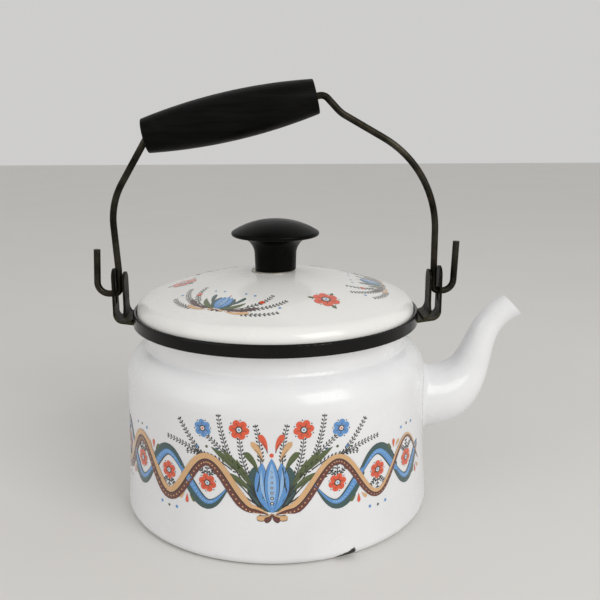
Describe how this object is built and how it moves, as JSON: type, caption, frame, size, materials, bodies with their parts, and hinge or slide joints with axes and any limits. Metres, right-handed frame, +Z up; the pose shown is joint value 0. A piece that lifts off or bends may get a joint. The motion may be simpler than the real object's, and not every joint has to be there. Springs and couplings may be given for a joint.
{
  "type": "stovetop kettle",
  "caption": "Squat enamelled stovetop kettle with a short swan-neck spout, a lift-off domed lid with a knob, and a swinging wire bail with a turned wooden grip.",
  "frame": {"origin": "centre of the base, on the surface that the kettle stands on", "axes": "+Z up; +X towards the spout, along the bail's swing axis; +Y away from the decorated front's viewer"},
  "size_m": [0.2471, 0.1766, 0.2408],
  "materials": {
    "white_enamel": "gloss",
    "lid_enamel": "gloss",
    "black_enamel": "gloss",
    "dark_steel": "satin",
    "grip_wood": "satin",
    "knob_black": "gloss",
    "brass": "satin",
    "bare_steel": "satin"
  },
  "bodies": {
    "kettle": {"body_shell": "white_enamel", "base_pan": "white_enamel", "rim_band": "black_enamel", "spout": "white_enamel", "ear_spout": "dark_steel", "ear_back": "dark_steel"},
    "bail": {"bail_wire": "dark_steel"},
    "grip": {"grip": "grip_wood"},
    "lid": {"lid_shell": "lid_enamel", "lid_skirt": "lid_enamel", "knob": "knob_black", "knob_washer": "bare_steel", "knob_insert": "brass", "screw_washer": "bare_steel", "knob_screw": "bare_steel"}
  },
  "joints": [
    {"name": "bail_swing", "type": "hinge", "parent": "kettle", "child": "bail", "pos_m": [0, 0, 0.1224], "axis": [1, 0, 0], "range_deg": [-100, 100]},
    {"name": "grip_spin", "type": "hinge", "parent": "bail", "child": "grip", "pos_m": [-0.07105, 0, 0.2106], "axis": [0.9761, 0, 0.2175], "continuous": true},
    {"name": "lid_lift", "type": "slide", "parent": "kettle", "child": "lid", "axis": [0, 0, 1], "range_m": [0, 0.04]}
  ]
}
